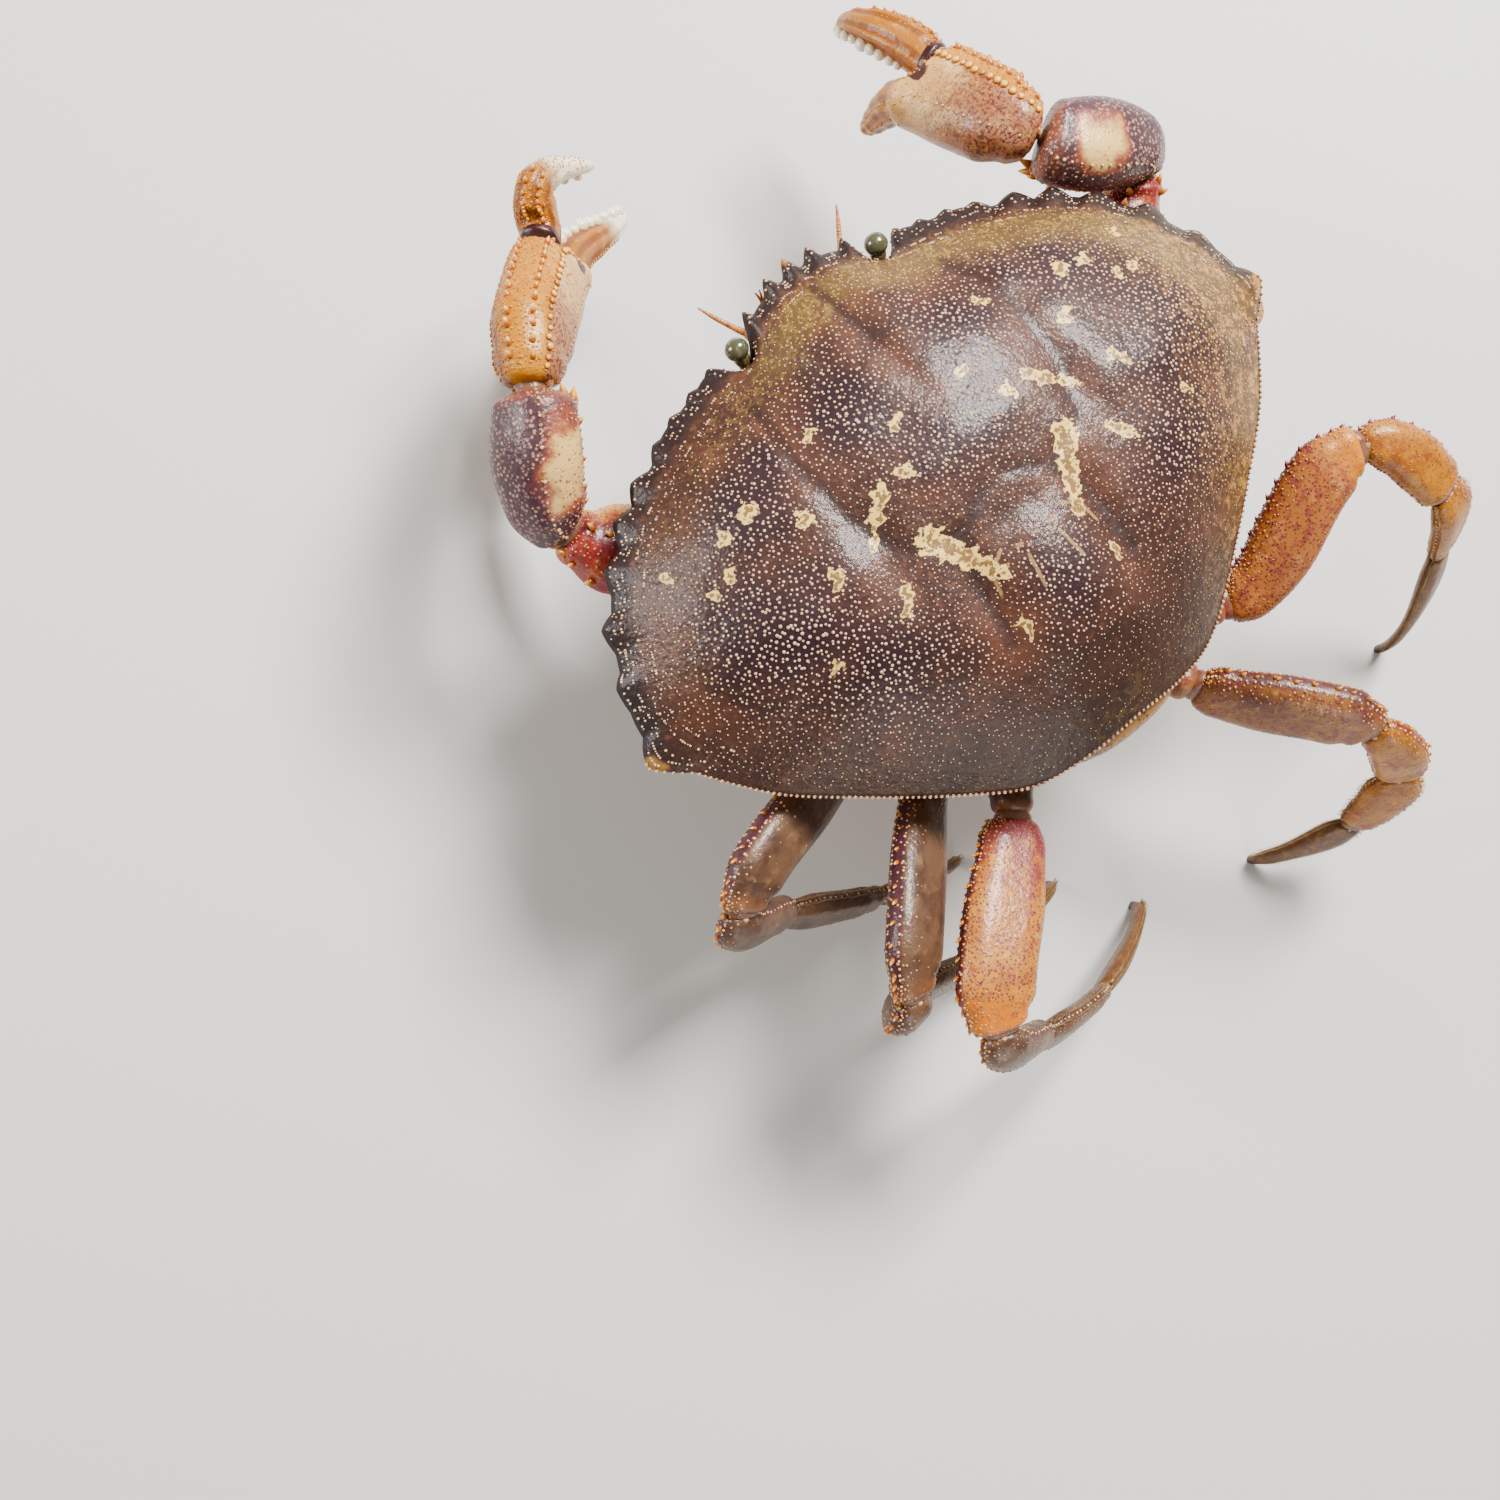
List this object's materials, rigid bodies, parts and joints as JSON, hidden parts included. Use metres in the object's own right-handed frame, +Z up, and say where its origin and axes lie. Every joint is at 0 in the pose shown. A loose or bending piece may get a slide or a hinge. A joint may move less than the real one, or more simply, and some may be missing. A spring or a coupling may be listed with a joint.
{
  "type": "dungeness crab",
  "caption": "Life-size Dungeness crab standing on its leg tips, with open claws, toothed shell edge and granulated back.",
  "frame": {"origin": "on the floor under the middle of the whole animal's box", "axes": "+Z up, the crab faces -Y and its left side is +X"},
  "size_m": [0.1967, 0.2371, 0.0971],
  "materials": {
    "shell": "wet purple-brown shell covered in fine pale granules",
    "limb": "wet orange-brown leg shell with granular edges",
    "claw": "wet orange and cream claw shell with spiny crest and white teeth",
    "under": "smooth cream and tan underside",
    "eye": "glossy dark eye"
  },
  "bodies": {
    "root": {"carapace": "shell", "sternum": "under", "abdomen": "under", "eye_left": "eye", "antenna_left": "limb", "maxilliped_left": "under", "cheliped_left_base": "limb", "cheliped_left_merus": "limb", "cheliped_left_carpus": "limb", "cheliped_left_palm": "claw", "cheliped_left_dactyl": "claw", "leg1_left_base": "limb", "leg1_left_merus": "limb", "leg1_left_carpus": "limb", "leg1_left_propodus": "limb", "leg1_left_dactyl": "limb", "leg2_left_base": "limb", "leg2_left_merus": "limb", "leg2_left_carpus": "limb", "leg2_left_propodus": "limb", "leg2_left_dactyl": "limb", "leg3_left_base": "limb", "leg3_left_merus": "limb", "leg3_left_carpus": "limb", "leg3_left_propodus": "limb", "leg3_left_dactyl": "limb", "leg4_left_base": "limb", "leg4_left_merus": "limb", "leg4_left_carpus": "limb", "leg4_left_propodus": "limb", "leg4_left_dactyl": "limb", "eye_right": "eye", "antenna_right": "limb", "maxilliped_right": "under", "cheliped_right_base": "limb", "cheliped_right_merus": "limb", "cheliped_right_carpus": "limb", "cheliped_right_palm": "claw", "cheliped_right_dactyl": "claw", "leg1_right_base": "limb", "leg1_right_merus": "limb", "leg1_right_carpus": "limb", "leg1_right_propodus": "limb", "leg1_right_dactyl": "limb", "leg2_right_base": "limb", "leg2_right_merus": "limb", "leg2_right_carpus": "limb", "leg2_right_propodus": "limb", "leg2_right_dactyl": "limb", "leg3_right_base": "limb", "leg3_right_merus": "limb", "leg3_right_carpus": "limb", "leg3_right_propodus": "limb", "leg3_right_dactyl": "limb", "leg4_right_base": "limb", "leg4_right_merus": "limb", "leg4_right_carpus": "limb", "leg4_right_propodus": "limb", "leg4_right_dactyl": "limb"}
  },
  "joints": []
}
